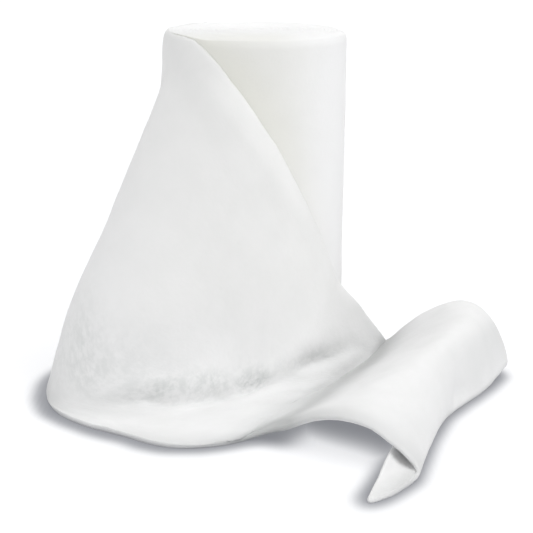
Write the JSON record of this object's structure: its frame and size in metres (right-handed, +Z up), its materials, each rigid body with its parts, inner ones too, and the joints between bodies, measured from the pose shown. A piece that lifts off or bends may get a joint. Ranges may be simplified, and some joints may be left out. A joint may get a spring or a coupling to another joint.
{
  "type": "padding bandage roll",
  "caption": "Roll of soft white wadding strip standing on its end, its loose end drawn out like a skirt, laid forward and curled under.",
  "frame": {"origin": "centre of the roll's lower end, on the surface that the roll stands on", "axes": "+Z up along the roll, -Y towards the front that the loose end crosses, +X towards the curled cut end"},
  "size_m": [0.1988, 0.1757, 0.15],
  "materials": {
    "wadding": "soft matt white nonwoven wadding, faintly mottled, with fuzzy edges"
  },
  "bodies": {
    "root": {"wound_roll": "wadding", "loose_end": "wadding"}
  },
  "joints": []
}
